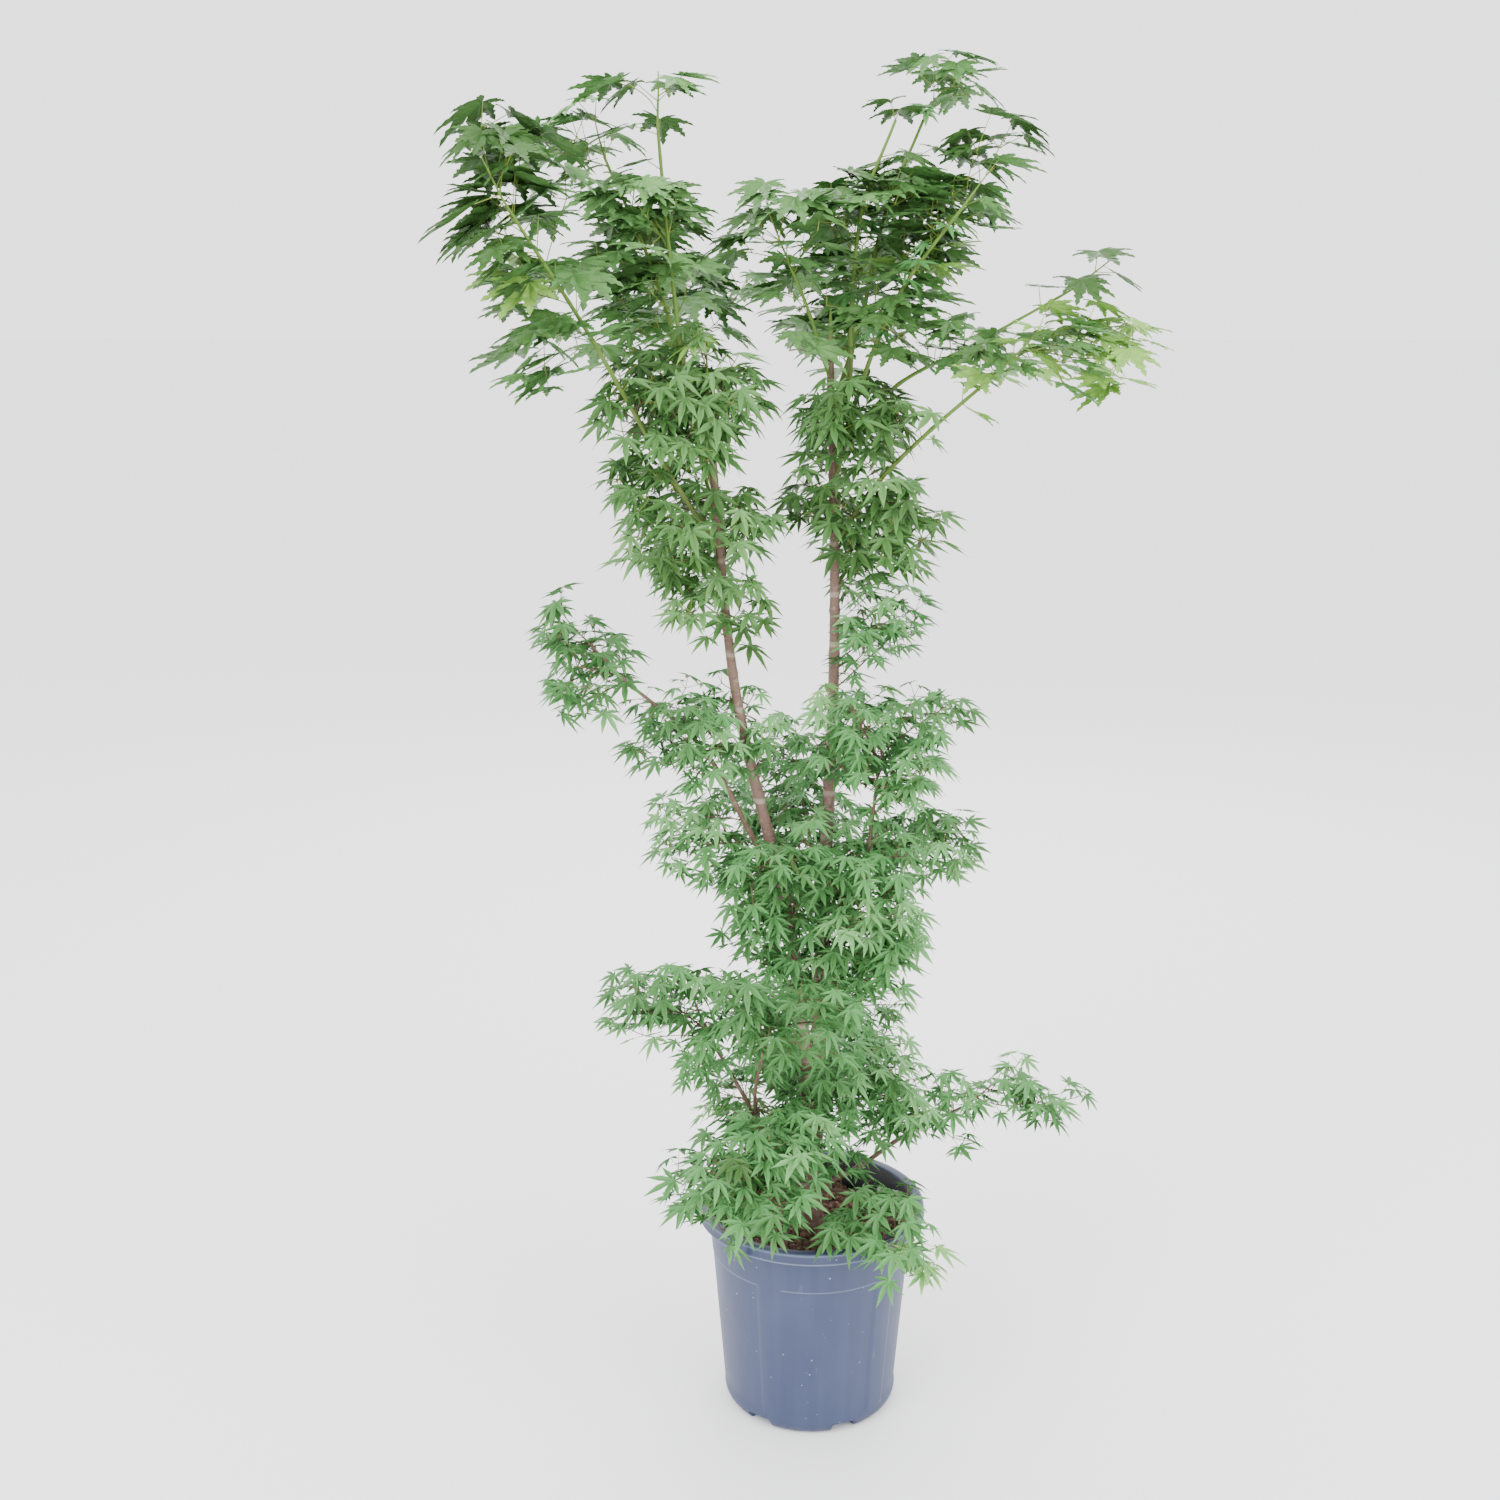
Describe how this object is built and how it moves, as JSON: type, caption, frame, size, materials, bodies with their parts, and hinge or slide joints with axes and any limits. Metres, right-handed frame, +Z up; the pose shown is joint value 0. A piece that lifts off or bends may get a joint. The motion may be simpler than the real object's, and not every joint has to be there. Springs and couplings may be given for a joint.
{
  "type": "potted shrub",
  "caption": "Tall two-stemmed ornamental maple with finely cut green leaves, in a round tapered nursery pot.",
  "frame": {"origin": "centre of the flat underside of the pot", "axes": "+Z up along the pot's axis, the front towards -Y, +X to the right seen from the front"},
  "size_m": [0.908, 0.651, 1.9543],
  "materials": {
    "pot": "dusty satin moulded plastic",
    "soil": "crumbly bark compost",
    "old_bark": "smooth mauve-brown bark with rings",
    "twig_bark": "smooth purplish-brown twig",
    "young_shoot": "smooth olive-green shoot",
    "upper_leaf": "satin leaf",
    "lower_leaf": "satin leaf"
  },
  "bodies": {
    "root": {"pot": "pot", "soil": "soil", "trunk": "old_bark", "left_stem": "old_bark", "right_stem": "old_bark", "left_tall_shoot": "young_shoot", "left_arch_shoot": "young_shoot", "left_reach_shoot": "young_shoot", "left_back_shoot": "young_shoot", "right_tall_shoot": "young_shoot", "right_top_shoot": "young_shoot", "right_lean_shoot": "young_shoot", "right_low_bough": "young_shoot", "right_far_shoot": "young_shoot", "right_back_shoot": "young_shoot", "inner_shoot": "young_shoot", "left_arm": "twig_bark", "left_mid_bough": "twig_bark", "right_outer_bough": "twig_bark", "right_mid_bough": "twig_bark", "back_mid_bough": "twig_bark", "base_left_bough": "twig_bark", "base_left_fork": "twig_bark", "base_right_bough": "twig_bark", "front_right_bough": "twig_bark", "front_left_bough": "twig_bark", "back_low_bough": "twig_bark", "left_tip_foliage": "upper_leaf", "left_shoulder_foliage": "upper_leaf", "left_crown_foliage": "upper_leaf", "left_top_foliage": "upper_leaf", "left_leader_foliage": "upper_leaf", "left_column_foliage": "upper_leaf", "left_mid_column_foliage": "upper_leaf", "left_back_foliage": "upper_leaf", "middle_crown_foliage": "upper_leaf", "right_top_foliage": "upper_leaf", "right_shoulder_foliage": "upper_leaf", "right_crown_foliage": "upper_leaf", "right_middle_foliage": "upper_leaf", "right_spray_foliage": "upper_leaf", "right_far_foliage": "upper_leaf", "right_column_foliage": "upper_leaf", "right_mid_column_foliage": "upper_leaf", "right_back_foliage": "upper_leaf", "right_step_foliage": "lower_leaf", "left_arm_foliage": "lower_leaf", "left_waist_foliage": "lower_leaf", "left_low_waist_foliage": "lower_leaf", "right_waist_foliage": "lower_leaf", "right_low_waist_foliage": "lower_leaf", "back_waist_foliage": "lower_leaf", "centre_foliage": "lower_leaf", "front_drape_foliage": "lower_leaf", "left_base_foliage": "lower_leaf", "centre_base_foliage": "lower_leaf", "back_base_foliage": "lower_leaf", "right_arm_foliage": "lower_leaf", "rim_left_foliage": "lower_leaf", "rim_right_foliage": "lower_leaf"}
  },
  "joints": []
}
